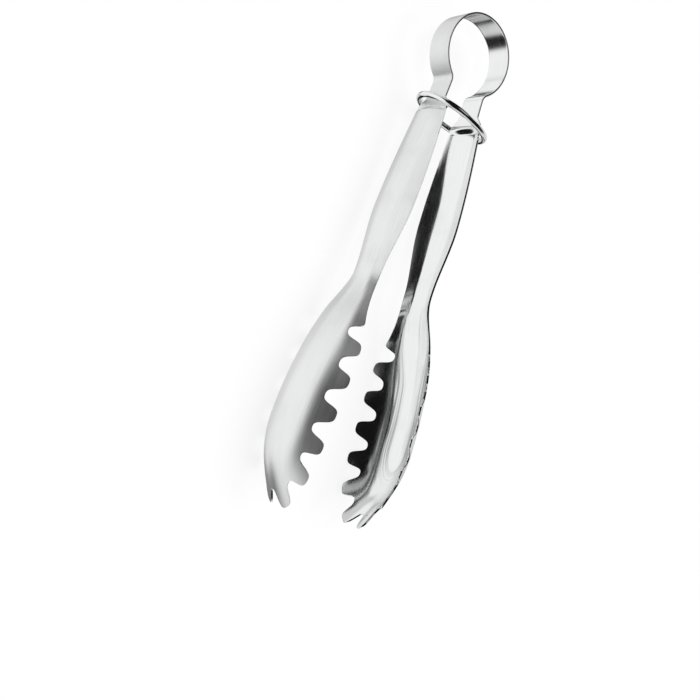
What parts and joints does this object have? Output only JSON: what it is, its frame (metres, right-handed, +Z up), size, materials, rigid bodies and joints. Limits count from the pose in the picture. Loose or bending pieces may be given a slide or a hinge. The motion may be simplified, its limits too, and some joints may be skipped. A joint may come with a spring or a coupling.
{
  "type": "spaghetti tongs",
  "caption": "Sprung stainless steel serving tongs: a looped band joins pressed arms with toothed, spoon-shaped jaws, and an oval wire ring slides on the shoulders to hold them shut.",
  "frame": {"origin": "middle of the surface that the tongs lie on, under the centre of their bounding box", "axes": "the tongs lie on their side: +X from the left arm to the right arm, the way they open; +Y from the jaws to the spring loop; +Z up, across the width of the sheet"},
  "size_m": [0.0818, 0.2794, 0.0488],
  "materials": {
    "band_steel": "polished stainless spring steel",
    "arm_steel": "satin-polished pressed stainless steel",
    "wire_steel": "polished stainless wire"
  },
  "bodies": {
    "spring_loop": {"spring_loop": "band_steel"},
    "left_arm": {"left_arm": "arm_steel"},
    "right_arm": {"right_arm": "arm_steel"},
    "locking_ring": {"locking_ring": "wire_steel"}
  },
  "joints": [
    {"name": "left_arm_close", "type": "hinge", "parent": "spring_loop", "child": "left_arm", "pos_m": [0, 0.11765, 0.02438], "axis": [0, 0, 1], "range_deg": [0, 5.3], "stiffness_Nm_per_rad": 5, "deforming": ["spring_loop"]},
    {"name": "right_arm_close", "type": "hinge", "parent": "spring_loop", "child": "right_arm", "pos_m": [0, 0.11765, 0.02438], "axis": [0, 0, -1], "range_deg": [0, 5.3], "stiffness_Nm_per_rad": 5, "deforming": ["spring_loop"]},
    {"name": "ring_slide", "type": "slide", "parent": "spring_loop", "child": "locking_ring", "axis": [0, 1, 0], "range_m": [0, 0.012]}
  ],
  "couplings": [
    {"joint": "right_arm_close", "follows": "left_arm_close", "ratio": 1}
  ]
}
